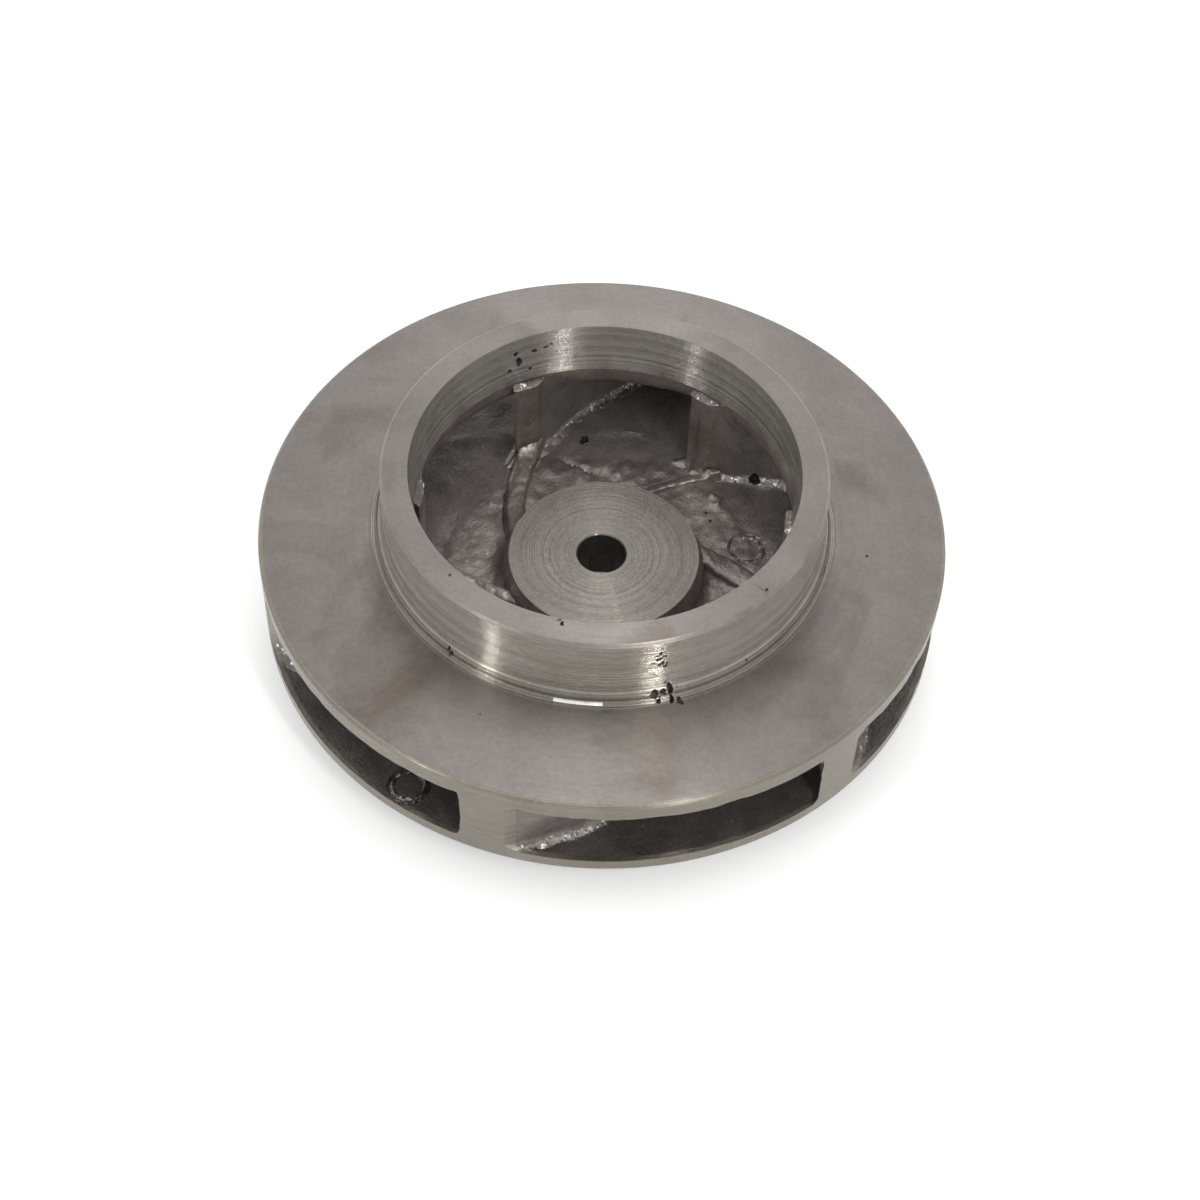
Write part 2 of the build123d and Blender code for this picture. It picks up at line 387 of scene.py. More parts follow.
edge_share = toward_edge(turns)[:, None]
offset = both_sides(-half, half) + EDGE_THINNING * edge_share
ahead = both_sides(spread, spread) * in_nose[:, None] / VANE_ARC_R
vane_x, vane_y = on_arc(turns[:, None] + EDGE_SLANT * offset * edge_share + ahead, offset)
vane_grid = np.stack([vane_x, vane_y, both_sides(heights, heights)], axis=-1)
rough = 0.75 + 0.9 * ridge(vane_grid[..., 2] - FLOOR_Z - 1.2, 1.6)
vane_copies = []
for index in range(VANE_COUNT):
    grid = turned_round(vane_grid, index)
    height = 0.55 * core_skin(grid, seed=61 + 7 * index) * rough
    height += 0.16 * lumps(grid, 2.4, seed=90 + index) * (rough - 0.7)
    vane_copies.append(grid + normals(grid, closed=False) * height[..., None])
vanes = tubes("vanes", vane_copies)

# --- Vane toes --------------------------------------------------------------------------------
# From the foot of each leading edge a low rounded ridge runs on along the vane's arc and dies
# into the hub. It guides the metal in the mould, and no two of them lie quite alike.
TOE_T = 6.2
TOE_FILLET = 1.4
TOE_START = EDGE_TURN - np.radians(1.5)
TOE_END = np.radians(92.0)
TOE_CREST_R = (NOSE_R, 38, 54)
TOE_CREST_Z = (27.5, 24.6, 24.0)
# It rises to the leading edge by EDGE_RISE, and falls again to a third of it in EDGE_REACH.
EDGE_RISE, EDGE_REACH = 2.2, 1.1
LAY_FROM, LAY_SPAN = 57, 20
# For each vane: sideways place of the toe at LAY_FROM degrees and LAY_SPAN degrees on, its drop,
# and its width beside that of the first.
TOE_LAY = (
    (0.1, -0.8, 0.0, 1.0), (-1.0, -2.4, 0.5, 0.9), (-0.8, -2.6, 0.4, 1.0),
    (-1.2, -3.0, 0.3, 1.0), (-3.4, -5.6, 1.5, 1.1), (-3.6, -5.6, 2.3, 0.4),
)
SIDE_ROWS = np.array([-1.3, -0.3, 0.2, 0.7, 1.3])
ROUND_ROWS = np.radians(np.linspace(0, 88, 9))

toe_turns = np.linspace(TOE_START, TOE_END, 52)
toe_radius = np.hypot(*on_arc(toe_turns, 0))
beyond = np.clip(toe_turns - EDGE_TURN - NOSE_LENGTH / VANE_ARC_R, 0, None) * VANE_ARC_R
toe_out = np.clip((toe_turns - EDGE_TURN) / np.radians(5), 0, 1)[:, None]
toe_half = np.concatenate(
    [
        TOE_T / 2 + flare(SIDE_ROWS, TOE_FILLET) * toe_out,
        TOE_T / 2 * np.cos(ROUND_ROWS) ** 0.45 + 0 * toe_out,
    ],
    axis=1,
)
toe_copies = []
for index, (at_edge, at_hub, drop, slimness) in enumerate(TOE_LAY):
    toe_crest = np.interp(toe_radius, TOE_CREST_R, TOE_CREST_Z) - drop
    toe_crest += EDGE_RISE * np.exp(-beyond / EDGE_REACH)
    side_top = FLOOR_Z + TOE_FILLET
    toe_sides = np.concatenate(
        [
            np.tile(FLOOR_Z + SIDE_ROWS, (len(toe_turns), 1)),
            side_top + (toe_crest - side_top)[:, None] * np.sin(ROUND_ROWS),
        ],
        axis=1,
    )
    lay = at_edge + (at_hub - at_edge) * (np.degrees(toe_turns) - LAY_FROM) / LAY_SPAN
    toe_offset = both_sides(-toe_half, toe_half) * slimness + lay[:, None]
    toe_x, toe_y = on_arc(toe_turns[:, None] + EDGE_SLANT * toe_offset, toe_offset)
    toe_grid = np.stack([toe_x, toe_y, both_sides(toe_sides, toe_sides)], axis=-1)
    grid = turned_round(toe_grid, index)
    height = 0.8 * core_skin(grid, seed=131 + 5 * index) + 0.12 * lumps(grid, 2.8, seed=171 + index)
    toe_copies.append(grid + normals(grid, closed=False) * height[..., None])
toes = tubes("toes", toe_copies)

# --- The casting ------------------------------------------------------------------------------
# Shrouds, vanes and toes are one casting. The vane ends are turned off with the rim, the keyway
# is broached, and gas pores and shrinkage cavities break through the skin in places.
TURNING_FROM, TURNING_TO = -10.0, 80.0  # height of the cut that turns the vane ends off
KEY_WIDTH = 8.0
KEY_START = 5.0
KEY_HEIGHT = 18.3
KEY_BELOW = -1.0
EDGE_TOP_SHADE_Z = 49.0         # above this height the up-facing tops of the leading edges get painted shade with painted glints
# The heads of the chaplets that held the core melted into the floor and left a ragged lip, with
# a groove round it: centre x and y, radius, the lip's height and the groove's depth.
CHAPLETS = ((-51.0, -78.0, 4.6, 0.7, 0.7), (44.2, 13.4, 4.4, 0.4, 0.3))
LIP_HALF_WIDTH = 0.6
LIP_RISE = -0.15
GROOVE_AWAY = 1.1
GROOVE_RISE = 0.35
# Each pore: azimuth in degrees, radius and height of its mouth, and its radii outwards, along
# the rim and upwards.
PORES = (
    (-72.0, 65.6, 50.4, 1.6, 1, 2.2), (-70.6, 66.2, 50.9, 1.2, 0.8, 0.9),
    (-75.6, 66.0, 49.6, 1.3, 1.5, 1.5), (-70.0, 67.9, 46.9, 1.3, 1, 1),
    (-71.8, 66.9, 47.4, 1.2, 0.7, 1.5), (-74.9, 66.6, 47.6, 0.9, 0.7, 1.2),
    (-73.6, 65.6, 49.6, 0.7, 1.3, 1), (-73.0, 64.5, 51.8, 0.4, 0.5, 0.4),
    (-74.5, 64.0, 65.0, 0.65, 0.51, 0.85), (-73.5, 64.0, 63.6, 0.52, 0.85, 0.51),
    (-75.5, 64.0, 64.0, 0.52, 0.68, 0.42), (-74.6, 64.0, 62.8, 0.65, 0.85, 0.51),
    (-75.3, 64.0, 62.2, 0.52, 0.51, 0.51), (-76.2, 64.0, 61.1, 0.52, 0.59, 0.42),
    (-74.7, 64.0, 60.0, 0.52, 0.77, 0.51), (-73.9, 64.0, 60.6, 0.65, 0.51, 0.85),
    (-72.8, 64.0, 60.0, 0.52, 0.34, 0.85), (-73.2, 64.0, 59.0, 0.52, 0.59, 0.51),
    (-128.4, 65.9, 49.8, 0.8, 0.5, 0.9), (-127.4, 66.1, 48.9, 0.9, 0.6, 1),
    (-127.9, 66.3, 48.1, 0.6, 0.4, 0.7), (-14.7, 66.2, 48.6, 0.7, 0.7, 0.8),
    (-100.8, 56.3, 70.0, 0.8, 0.5, 0.7), (-99.7, 57.6, 70.0, 0.9, 0.5, 0.6),
    (-51.2, 66.0, 50.3, 0.5, 0.5, 0.6), (-6.9, 77.2, 46.7, 0.45, 0.45, 0.4),
    (-113.6, 77.6, 46.7, 0.24, 0.24, 0.3), (-134.4, 58.5, 70.0, 0.5, 0.4, 0.4),
    (-42.8, 61.8, 70.0, 0.4, 0.4, 0.4), (120.5, 55.6, 64.8, 0.94, 0.94, 0.68),
    (119.4, 55.2, 61.4, 1.08, 1.08, 1.35), (114.1, 55.5, 63.9, 0.81, 0.94, 0.68),
    (123.0, 55.1, 59.2, 0.54, 0.68, 0.68), (115.7, 55.0, 57.7, 0.68, 0.68, 0.68),
    (110.5, 55.5, 64.3, 0.54, 1.22, 0.41), (108.5, 55.6, 65.0, 0.54, 0.54, 0.41),
    (97.0, 55.6, 20.2, 1.7, 1.5, 2.4), (41.1, 62.0, 21.6, 1.8, 1.8, 1.7),
    (40.2, 41.4, 20.9, 0.5, 0.5, 0.9), (35.6, 40.4, 20.9, 0.5, 0.5, 0.9),
)
# Painted highlights on the foot of the ring, where the lamps' reflections fall: azimuth, half their
# turn, height and half their height.
HIGHLIGHT_SPOTS = ((-94, 5.6, 47.45, 0.35), (-117.5, 1.9, 49.1, 0.5))
DULL_TOE = 4                # the toe that keeps the floor's skin, without the painted light of the other toes
SHARP_ANGLE = np.radians(38)


def combine(piece, *steps):
    """Joins, cuts or trims a piece by others, given as (other, operation), and keeps only the result."""
    for other, operation in steps:
        step = piece.modifiers.new("step", "BOOLEAN")
        step.object, step.operation, step.solver = other, operation, "MANIFOLD"
    bpy.context.view_layer.update()
    solid = bpy.data.meshes.new_from_object(
        piece.evaluated_get(bpy.context.evaluated_depsgraph_get())
    )
    piece.modifiers.clear()
    piece.data = solid
    for other, _ in steps:
        bpy.data.objects.remove(other)


def surface_material(name):
    """A new material, its shader, a function that links, and one that adds a node."""
    material = bpy.data.materials.new(name)
    material.use_nodes = True
    tree = material.node_tree

    def add(kind, inputs=(), **settings):
        """Adds a node and links or sets each of its inputs."""
        made = tree.nodes.new("ShaderNode" + kind)
        for key, value in settings.items():
            setattr(made, key, value)
        for key, value in dict(inputs).items():
            if isinstance(value, bpy.types.NodeSocket):
                tree.links.new(value, made.inputs[key])
            else:
                made.inputs[key].default_value = value
        return made

    return material, tree.nodes["Principled BSDF"], tree.links.new, add


def noise(add, scale, detail, roughness, distortion=0.0, **place):
    """Noise with a scale per metre, in space (Vector=point) or along a length (W=length)."""
    inputs = {"Scale": scale, "Detail": detail, "Roughness": roughness, "Distortion": distortion}
    dimensions = "1D" if "W" in place else "3D"
    return add("TexNoise", {**inputs, **place}, noise_dimensions=dimensions).outputs[0]


def carried(add, value, low, high, at_low=0.0, at_high=1.0, **settings):
    """The value, with the range from low to high carried over to the one from at_low to at_high."""
    return add("MapRange", {0: value, 1: low, 2: high, 3: at_low, 4: at_high}, **settings).outputs[0]


def blended(add, share, under, over):
    """A colour that goes from one to another as the share goes from 0 to 1."""
    return add("MixRGB", {0: share, 1: under, 2: over}).outputs[0]


def dimmed(add, colour, factor):
    """A colour multiplied by a factor."""
    return add("MixRGB", {0: 1.0, 1: colour, 2: factor}, blend_type="MULTIPLY").outputs[0]


def combined(add, operation, *inputs, kind="VectorMath"):
    """The outcome of an operation on vectors or, with kind="Math", on values."""
    return add(kind, dict(enumerate(inputs)), operation=operation).outputs[0]


def shaft_coordinates(add):
    """Position on the piece, its part across the shaft axis, and the distance from that axis."""
    point = add("TexCoord").outputs["Object"]
    flat = combined(add, "MULTIPLY", point, (1, 1, 0))
    return point, flat, add("VectorMath", {0: flat}, operation="LENGTH").outputs["Value"]


def turned_material(
    name, light, dark, stain, roughness, anisotropy, groove, stain_scale=26, ring_shade=0.03
):
    """Turned aluminium: clouded and stained, with rings of tool marks that follow a length which
    grows along any turned section, radius + 1.37 height. The walls of the finest marks turn the
    surface up and down across the way of the tool by up to groove, as a slope:
    normal = normalised (normal + slope x (normal crossed with the way of the tool))."""
    material, shader, link, add = surface_material(name)
    point, flat, radius = shaft_coordinates(add)
    height = add("SeparateXYZ", {0: point}).outputs[2]
    along = combined(add, "MULTIPLY_ADD", height, 1.37, radius, kind="Math")
    tool = combined(add, "NORMALIZE", combined(add, "CROSS_PRODUCT", (0, 0, 1), flat))
    rings = noise(add, 1300, 3, 0.7, W=along)
    threads = noise(add, 14000, 1, 0.8, W=along)
    cloud = noise(add, 42, 6, 0.65, Vector=point)
    grain = noise(add, 800, 3, 0.7, Vector=point)
    patch = noise(add, stain_scale, 4, 0.55, distortion=0.6, Vector=point)
    base = blended(add, carried(add, cloud, 0.3, 0.7), (*dark, 1), (*light, 1))
    base = blended(add, carried(add, patch, 0.52, 0.72, 0.0, 0.75), base, (*stain, 1))
    base = dimmed(add, base, carried(add, rings, 0.25, 0.75, 1 - ring_shade, 1 + ring_shade))
    base = dimmed(add, base, carried(add, grain, 0.3, 0.7, 0.91, 1.09))
    link(base, shader.inputs["Base Color"])
    normal = add("NewGeometry").outputs["Normal"]
    across = combined(add, "CROSS_PRODUCT", normal, tool)
    both = combined(add, "MULTIPLY_ADD", rings, 0.03, threads, kind="Math")
    slope = carried(add, both, 0.28, 0.78, -groove, groove, clamp=False)
    lean = add("VectorMath", {0: across, "Scale": slope}, operation="SCALE").outputs[0]
    cut = combined(add, "NORMALIZE", combined(add, "ADD", normal, lean))
    relief = add("Bump", {"Height": grain, "Strength": 0.12, "Distance": 0.00005, "Normal": cut})
    link(relief.outputs[0], shader.inputs["Normal"])
    link(tool, shader.inputs["Tangent"])
    shader.inputs["Metallic"].default_value = 1.0
    shader.inputs["Roughness"].default_value = roughness
    shader.inputs["Anisotropic"].default_value = anisotropy
    shader.inputs["Anisotropic Rotation"].default_value = 0.25
    return material


def cast_material(name, light, dark, metallic, roughness, grain, depth, glint, rim_shade=1.0):
    """As-cast aluminium: the print of sand grains, depth deep, in a dull skin. Towards the rim the
    skin is darker, by the factor rim_shade: painted shade for the passages near the rim. Painted
    glints: the colour turns near white where a noise passes the level glint."""
    material, shader, link, add = surface_material(name)
    point, _, radius = shaft_coordinates(add)
    sand = noise(add, grain, 4, 0.7, Vector=point)
    grit = add("TexVoronoi", {"Vector": point, "Scale": grain * 1.6, "Randomness": 1.0})
    cloud = noise(add, 70, 4, 0.6, Vector=point)
    glint_noise = noise(add, 620, 3, 0.75, Vector=point)
    base = blended(add, carried(add, cloud, 0.32, 0.68), (*dark, 1), (*light, 1))
    base = dimmed(add, base, carried(add, sand, 0.35, 0.7, 0.8, 1.15))
    # Painted shade: the skin darkens towards the rim by the factor rim_shade.
    painted_rim_darkening = carried(add, radius, 0.058, 0.086, 1.0, rim_shade, interpolation_type="SMOOTHSTEP")
    base = dimmed(add, base, painted_rim_darkening)
    # Painted glints: the colour turns near white where the noise passes the level glint.
    base = blended(add, carried(add, glint_noise, glint, glint + 0.07), base, (0.85, 0.83, 0.80, 1))
    link(base, shader.inputs["Base Color"])
    relief = combined(add, "MULTIPLY_ADD", grit.outputs["Distance"], 0.4, sand, kind="Math")
    bump = add("Bump", {"Height": relief, "Strength": 0.8, "Distance": depth})
    link(bump.outputs[0], shader.inputs["Normal"])
    shader.inputs["Metallic"].default_value = metallic
    shader.inputs["Roughness"].default_value = roughness
    return material


(
    FACE, WALL, BORE, CHAMFER, NOSE, HOLE, RIM, FOOT,
    PAINTED_HIGHLIGHT, CAST, VANE_SKIN, EDGE, EDGE_TOP, ROOT, TOE_PAINTED_LIGHT, PORE,
) = range(16)
finishes = (
    turned_material(
        "turned_face", (0.212, 0.192, 0.18), (0.171, 0.155, 0.145), (0.118, 0.097, 0.077),
        roughness=0.36, anisotropy=0.85, groove=0.3,
    ),
    turned_material(
        "turned_wall", (0.573, 0.54, 0.49), (0.494, 0.464, 0.414), (0.441, 0.411, 0.35),
        roughness=0.15, anisotropy=0.6, groove=1.6,
    ),
    turned_material(
        "turned_bore", (0.392, 0.37, 0.339), (0.322, 0.3, 0.271), (0.304, 0.283, 0.248),
        roughness=0.22, anisotropy=0.6, groove=1.3, ring_shade=0.045,
    ),
    # Painted shade: the chamfer is coloured darker than the wall, standing in for the dark that it
    # reflects.
    turned_material(
        "turned_chamfer", (0.3, 0.279, 0.248), (0.2, 0.187, 0.164), (0.17, 0.155, 0.128),
        roughness=0.35, anisotropy=0.5, groove=0.3, stain_scale=60,
    ),
    turned_material(
        "turned_nose", (0.187, 0.173, 0.155), (0.158, 0.145, 0.13), (0.149, 0.138, 0.12),
        roughness=0.23, anisotropy=0.8, groove=0.65, ring_shade=0.035,
    ),
    # Painted shade: a dark colour for the shaft bore and the keyway, deep recesses where shade falls.
    cast_material(
        "bolt_hole_painted_shade", (0.104, 0.0914, 0.0783), (0.0435, 0.0374, 0.0313),
        metallic=0.7, roughness=0.5, grain=900, depth=0.0002, glint=0.72,
    ),
    turned_material(
        "turned_rim", (0.248, 0.228, 0.191), (0.204, 0.189, 0.157), (0.187, 0.174, 0.141),
        roughness=0.27, anisotropy=0.5, groove=0.8, stain_scale=30,
    ),
    turned_material(
        "turned_foot", (0.365, 0.344, 0.304), (0.296, 0.274, 0.239), (0.261, 0.239, 0.196),
        roughness=0.2, anisotropy=0.6, groove=1.2, stain_scale=60,
    ),
    # Painted highlights: a near-white colour for the spots on the ring's foot where the lamps'
    # reflections fall.
    cast_material(
        "painted_highlight_spots", (0.95, 0.94, 0.92), (0.78, 0.76, 0.73),
        metallic=1.0, roughness=0.3, grain=500, depth=0.00004, glint=0.6,
    ),
    cast_material(
        "core_skin", (0.331, 0.3, 0.277), (0.209, 0.186, 0.171),
        metallic=0.7, roughness=0.40, grain=900, depth=0.00024, glint=0.70, rim_shade=0.5,
    ),
    cast_material(
        "vane_skin", (0.27, 0.248, 0.228), (0.183, 0.165, 0.15),
        metallic=0.6, roughness=0.40, grain=700, depth=0.00012, glint=0.74, rim_shade=0.75,
    ),
    # Painted light: a lighter colour for the blunt faces of the leading edges.
    cast_material(
        "edge_painted_light", (0.339, 0.313, 0.283), (0.191, 0.174, 0.157),
        metallic=0.75, roughness=0.34, grain=500, depth=0.00022, glint=0.69,
    ),
    # Painted shade with painted glints: a dark colour with many near-white specks for the up-facing tops
    # of the leading edges.
    cast_material(
        "edge_top_painted_shade", (0.24, 0.22, 0.2), (0.1, 0.09, 0.082),
        metallic=0.9, roughness=0.3, grain=500, depth=0.0003, glint=0.58,
    ),
    # Painted highlights: a lighter colour with many painted glints for the root fillets and the lips of
    # the chaplets.
    cast_material(
        "root_painted_highlight", (0.4, 0.374, 0.348), (0.209, 0.187, 0.17),
        metallic=0.9, roughness=0.3, grain=600, depth=0.0003, glint=0.58, rim_shade=0.5,
    ),
    # Painted light: a lighter colour with painted glints for the tops of the toes and the feet of the
    # leading edges, where light falls through the eye.
    cast_material(
        "toe_painted_light", (0.4, 0.37, 0.339), (0.261, 0.237, 0.216),
        metallic=0.8, roughness=0.34, grain=600, depth=0.0002, glint=0.64,
    ),
    cast_material(
        "pore_skin", (0.087, 0.08, 0.0731), (0.0261, 0.0235, 0.0209),
        metallic=0.6, roughness=0.5, grain=1500, depth=0.0002, glint=0.68,
    ),
)


def dress(piece, finish):
    """Gives the piece every finish of the casting as a slot, and its faces the one named, or each
    its own where finish is an array."""
    for material in finishes:
        piece.data.materials.append(material)
    per_face = np.zeros(len(piece.data.polygons), np.int32) + np.asarray(finish, np.int32)
    piece.data.polygons.foreach_set("material_index", per_face)


def uneven_ring(x, y, radius, rise, size):
    """A ring round a chaplet head with an oval section, pushed about by lumps:
    (x + r cos b, y + r sin b, floor + rise + size sin a), where r = radius + half width x cos a."""
    section = (np.arange(10) * (2 * np.pi / 10))[:, None]
    around = (np.arange(72) * (2 * np.pi / 72))[None, :]
    reach = radius + LIP_HALF_WIDTH * np.cos(section)
    height = FLOOR_Z + rise + size * np.sin(section) + 0 * around
    ring = np.stack([x + reach * np.cos(around), y + reach * np.sin(around), height], axis=-1)
    return ring + 0.35 * lumps(ring, 1.8, seed=77)[..., None] * np.array([0.5, 0.5, 1])


def pore(index, azimuth, radius, height, deep, wide, tall):
    """An uneven ball with three radii in the directions out from the axis, round it and up:
    (sin a cos b, sin a sin b, cos a), swollen and dented by lumps."""
    latitude = np.radians(np.linspace(172, 8, 9))[:, None]
    longitude = (np.arange(14) * (2 * np.pi / 14))[None, :]
    ball = np.stack(
        [
            np.sin(latitude) * np.cos(longitude),
            np.sin(latitude) * np.sin(longitude),
            np.cos(latitude) + 0 * longitude,
        ],
        axis=-1,
    )
    uneven = 1 + 0.3 * lumps(ball, 1.1, seed=500 + index)[..., None]
    c, s = np.cos(np.radians(azimuth)), np.sin(np.radians(azimuth))
    directions = np.array([[c, s, 0], [-s, c, 0], [0, 0, 1]])
    mouth = np.array([radius * c, radius * s, height])
    return mouth + ball * uneven * np.array([deep, wide, tall]) @ directions


def drop_crumbs(piece, least_vertices):
    """Deletes the loose crumbs that the cuts leave. Each vertex takes the lowest number among those
    it is joined to, over and over, until a connected part shares one number."""
    mesh = piece.data
    ends = np.empty(len(mesh.edges) * 2, np.int32)
    mesh.edges.foreach_get("vertices", ends)
    first, second = ends.reshape(-1, 2).T
    label, before = np.arange(len(mesh.vertices)), None
    while before is None or (label != before).any():
        before = label.copy()
        lowest = np.minimum(label[first], label[second])
        np.minimum.at(label, label[first], lowest)
        np.minimum.at(label, label[second], lowest)
        label = label[label]
    crumbs = np.flatnonzero(np.bincount(label, minlength=len(label))[label] < least_vertices)
    solid = bmesh.new()
    solid.from_mesh(mesh)
    solid.verts.ensure_lookup_table()
    bmesh.ops.delete(solid, geom=[solid.verts[index] for index in crumbs], context="VERTS")
    solid.to_mesh(mesh)
    solid.free()


# The blunt leading edges and the fillets at the roots of the vanes are painted brighter than their
# sides: painted light on the faces of the edges, and painted highlights with painted glints along the
# root fillets.
row = np.arange(len(turns) - 1)[:, None]
column = np.arange(vane_grid.shape[1])[None, :]
over_floor = np.minimum(column, vane_grid.shape[1] - 1 - column)
side_finish = np.where((over_floor > 1) & (over_floor < 6), ROOT, VANE_SKIN)
edge_finish = np.where(over_floor < 7, TOE_PAINTED_LIGHT, EDGE)
vane_finish = np.append(np.where(row < len(run) - 2, side_finish, edge_finish), [RIM, EDGE])
# The toe tops and the feet of the leading edges take painted light; one toe keeps the floor's skin.
toe_finish = np.full(VANE_COUNT, TOE_PAINTED_LIGHT)
toe_finish[DULL_TOE] = CAST
turning = tubes("turning", [spun(np.array([[RIM_R, TURNING_FROM], [RIM_R, TURNING_TO]]))])
dress(front_shroud, CAST)
dress(back_shroud, CAST)
dress(vanes, np.tile(vane_finish, VANE_COUNT))
dress(toes, np.repeat(toe_finish, len(toes.data.polygons) // VANE_COUNT))
dress(turning, RIM)
combine(vanes, (turning, "INTERSECT"))

lips = [uneven_ring(x, y, radius, LIP_RISE, lip) for x, y, radius, lip, _ in CHAPLETS]
grooves = [
    uneven_ring(x, y, radius + GROOVE_AWAY, GROOVE_RISE, depth + GROOVE_RISE)
    for x, y, radius, _, depth in CHAPLETS
]
chaplet_lips = tubes("chaplet_lips", lips, closed=True)
chaplet_grooves = tubes("chaplet_grooves", grooves, closed=True)
# The chaplet lips take the painted highlights of the root fillets.
dress(chaplet_lips, ROOT)
dress(chaplet_grooves, CAST)
casting = front_shroud
casting.name = "impeller_casting"
combine(
    casting,
    (back_shroud, "UNION"), (vanes, "UNION"), (toes, "UNION"),
    (chaplet_grooves, "DIFFERENCE"), (chaplet_lips, "UNION"),
)

# Turned surfaces, and the places that take painted highlight or painted shade, are found by where the
# middle of each face lies, within a tenth or so, and the first place that fits gives the finish. What
# fits none keeps its skin.
mesh = casting.data
centres, directions = np.empty(len(mesh.polygons) * 3), np.empty(len(mesh.polygons) * 3)
skin = np.empty(len(mesh.polygons), np.int32)
mesh.polygons.foreach_get("center", centres)
mesh.polygons.foreach_get("normal", directions)
mesh.polygons.foreach_get("material_index", skin)
face_x, face_y, face_z = centres.reshape(-1, 3).T / MM
face_r, face_az = np.hypot(face_x, face_y), np.degrees(np.arctan2(face_y, face_x))
faces_up = directions[2::3] > 0.5
on_ring = face_r > COLLAR_R - 1
over_shroud = face_z > SHROUD_OUT_Z - 0.05
# Faces on the foot of the ring that take the painted highlight.
highlighted = np.zeros(len(skin), bool)
for azimuth, half_turn, height, half_height in HIGHLIGHT_SPOTS:
    in_spot = (np.abs(face_az - azimuth) < half_turn) & (np.abs(face_z - height) < half_height)
    highlighted |= in_spot & (face_r > COLLAR_R)
turned_places = (
    (PAINTED_HIGHLIGHT, highlighted),
    (RIM, face_r > RIM_R - CORNER_R + 0.1),
    (FACE, (face_z < BACK_FACE_Z + 0.1) & (face_r > BOSS_R)),
    # The shaft bore takes painted shade, a dark colour, although it is turned.
    (HOLE, (face_r < SHAFT_R + 0.1) & (face_z < NOSE_Z - HOLE_BREAK - 0.1)),
    (WALL, face_z < BACK_FACE_Z + 0.1),
    (NOSE, (face_r < NOSE_R + 1.5) & (face_z > NOSE_Z - HOLE_BREAK - 0.05)),
    (FACE, over_shroud & (face_r > FOOT_R + 1.2)),
    (FACE, (face_r > EYE_R_TOP) & (face_z > COLLAR_TOP_Z - 0.05)),
    (FOOT, over_shroud & on_ring & (face_z < GROOVE_Z + 0.1)),
    # The chamfer takes its painted shade.
    (CHAMFER, on_ring & (face_z > COLLAR_TOP_Z - COLLAR_CHAMFER)),
    (WALL, on_ring & (face_z > GROOVE_Z)),
    (BORE, (face_z > EYE_LIP_Z) & (face_r > EYE_R_LIP - 0.1)),
    # The up-facing tops of the leading edges take painted shade with painted glints.
    (EDGE_TOP, (face_z > EDGE_TOP_SHADE_Z) & (face_r < EYE_R_LIP) & faces_up),
)
places, finish = [place for _, place in turned_places], [made for made, _ in turned_places]
mesh.polygons.foreach_set("material_index", np.select(places, finish, default=skin).astype(np.int32))

key_corners = np.array([[-1, KEY_START], [1, KEY_START], [1, KEY_HEIGHT], [-1, KEY_HEIGHT]])
key_corners = key_corners * [KEY_WIDTH / 2, 1]
key_ends = [np.c_[key_corners, np.full(4, height)] for height in (KEY_BELOW, SHAFT_DEPTH)]
keyway = tubes("keyway", [np.stack(key_ends)])
pores = tubes("pores", [pore(index, *place) for index, place in enumerate(PORES)])
# The keyway takes the painted shade of the bore.
dress(keyway, HOLE)
dress(pores, PORE)
combine(casting, (keyway, "DIFFERENCE"), (pores, "DIFFERENCE"))
drop_crumbs(casting, least_vertices=100)
casting.data.polygons.foreach_set("use_smooth", np.ones(len(casting.data.polygons), bool))
casting.data.set_sharp_from_angle(angle=SHARP_ANGLE)
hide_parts("impeller")
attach(casting, "root")

# --- Studio -----------------------------------------------------------------------------------
# A wide pale floor, an even pale light all round, a soft ceiling light, and two upright windows
# to the front left and front right, which draw the bright bars on the turned walls.
FLOOR_SIZE = 8.0
SHEET_WHITE = (0.9, 0.9, 0.9, 1)
FLOOR_LIFT = 0.2
# Each light: direction from the casting, distance, width and height in metres, and watts.
LIGHTS = (
    ("window_left", (-0.64, -0.61, 0.46), 1.3, (0.09, 0.50), 1.75),
    ("window_right", (0.325, -0.61, 0.72), 1.3, (0.09, 0.50), 3.6),
    ("ceiling", (0.0, 0.5, 1.0), 1.5, (0.4, 1.5), 4.0),
)
AIM = np.array([0, 0, 45 * MM])


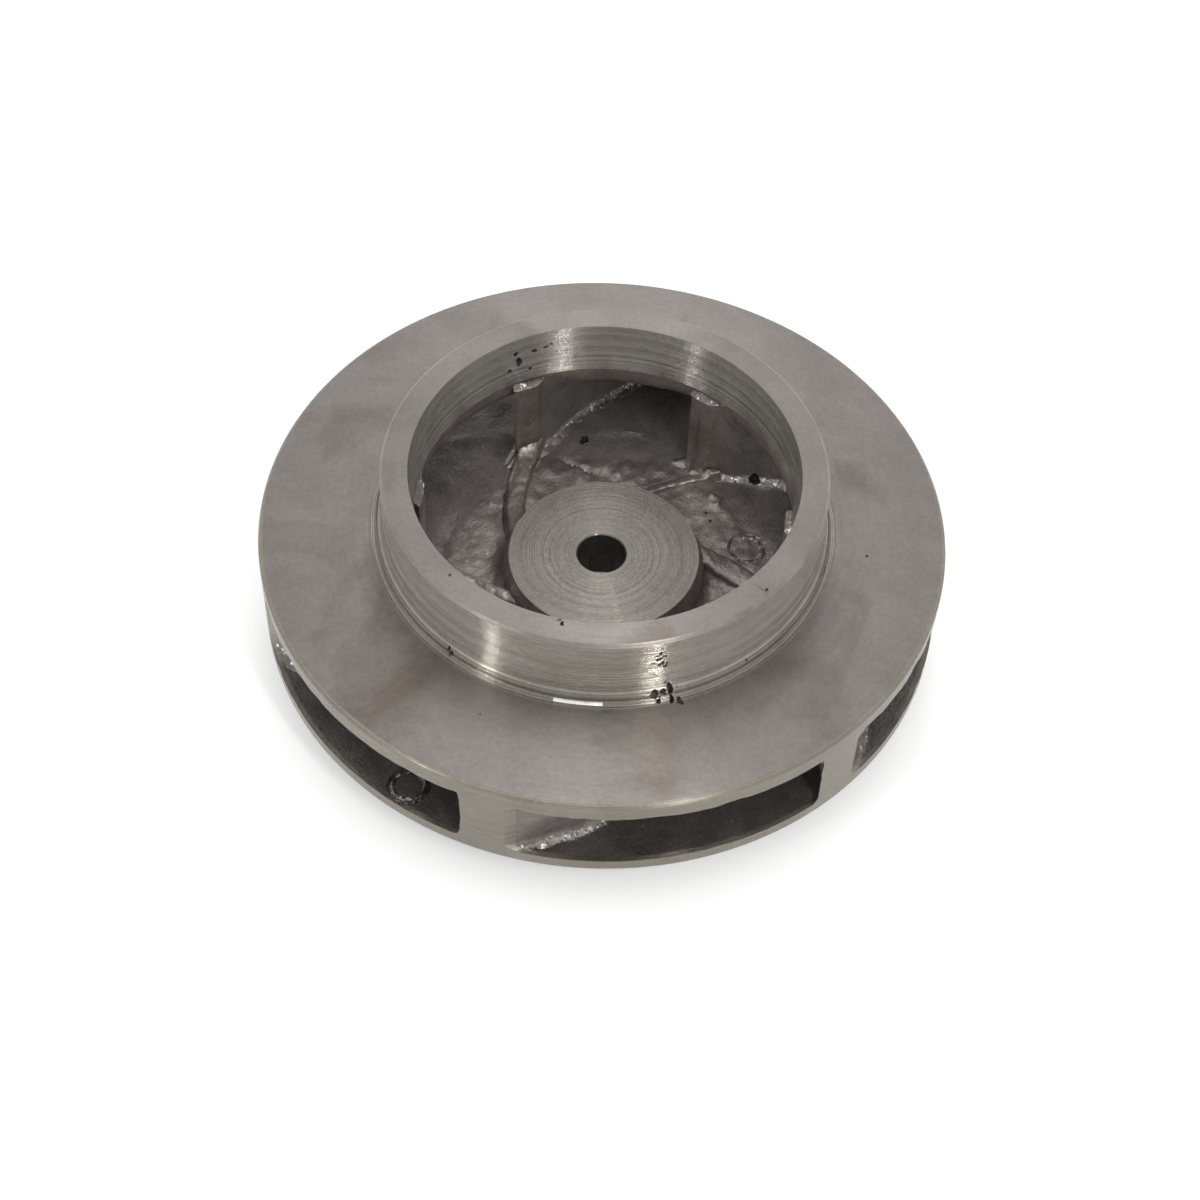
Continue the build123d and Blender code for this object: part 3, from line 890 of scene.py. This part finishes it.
def seen_ray(add):
    """1 for a camera, glossy or transmission ray, else 0."""
    rays = add("LightPath").outputs
    either = combined(add, "MAXIMUM", rays["Is Camera Ray"], rays["Is Glossy Ray"], kind="Math")
    return combined(add, "MAXIMUM", either, rays["Is Transmission Ray"], kind="Math")


floor_corners = np.array([(x, y, 0) for x, y in ((-1, -1), (1, -1), (1, 1), (-1, 1))])
floor = mesh_object("studio_floor", floor_corners * FLOOR_SIZE / 2 / MM, [(0, 1, 2, 3)])
floor_paint, floor_shader, link, add = surface_material("studio_paint")
floor_shader.inputs["Base Color"].default_value = SHEET_WHITE
floor_shader.inputs["Roughness"].default_value = 0.9
floor_shader.inputs["Specular IOR Level"].default_value = 0.0
floor_shader.inputs["Emission Color"].default_value = (1, 1, 1, 1)
lift = combined(add, "MULTIPLY", seen_ray(add), FLOOR_LIFT, kind="Math")
link(lift, floor_shader.inputs["Emission Strength"])
floor.data.materials.append(floor_paint)

world = bpy.data.worlds.new("studio_light")
bpy.context.scene.world = world
world.use_nodes = True
sky = world.node_tree.nodes["Background"]
sky.inputs["Color"].default_value = (1, 1, 1, 1)
sky.inputs["Strength"].default_value = 1.0

for name, towards, distance, size, power in LIGHTS:
    lamp = bpy.data.lights.new(name, "AREA")
    lamp.shape, lamp.size, lamp.size_y, lamp.energy = "RECTANGLE", size[0], size[1], power
    holder = bpy.data.objects.new(name, lamp)
    direction = np.array(towards) / np.linalg.norm(towards)
    holder.location = AIM + direction * distance
    holder.rotation_euler = Vector(direction).to_track_quat("Z", "Y").to_euler()
    bpy.context.scene.collection.objects.link(holder)

camera = bpy.data.objects.new("camera", bpy.data.cameras.new("camera"))
camera.data.sensor_width = 36
camera.data.lens = 67.51
camera.data.clip_start = 0.01
camera.matrix_world = Matrix((
    (0.999030527, -0.0440221666, -0.000235086521, 0.0),
    (0.0343881867, 0.783710693, -0.620173365, -0.425227),
    (0.0274856150, 0.619564039, 0.784464749, 0.546920),
    (0, 0, 0, 1),
))
bpy.context.scene.collection.objects.link(camera)
bpy.context.scene.camera = camera
bpy.context.scene.view_settings.view_transform = "Standard"
